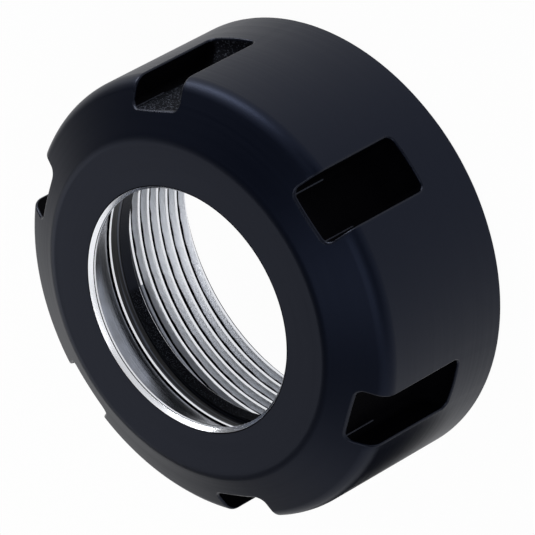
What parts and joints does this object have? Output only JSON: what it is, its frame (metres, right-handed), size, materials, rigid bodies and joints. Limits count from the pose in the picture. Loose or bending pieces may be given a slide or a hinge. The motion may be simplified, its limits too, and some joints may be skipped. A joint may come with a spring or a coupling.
{
  "type": "collet nut",
  "caption": "Round clamping nut with an internal spindle thread, a conical collet seat, an eccentric extraction lip and spanner slots around its nose.",
  "frame": {"origin": "centre of the rear face, on the nut's axis", "axes": "+Z along the axis from the rear face to the nose; +X through the middle of one spanner slot"},
  "size_m": [0.05, 0.05, 0.0225],
  "materials": {
    "blackened_steel": "satin black oxide on steel, with the seat, recess and thread machined bright"
  },
  "bodies": {
    "root": {"collet_nut": "blackened_steel"}
  },
  "joints": []
}
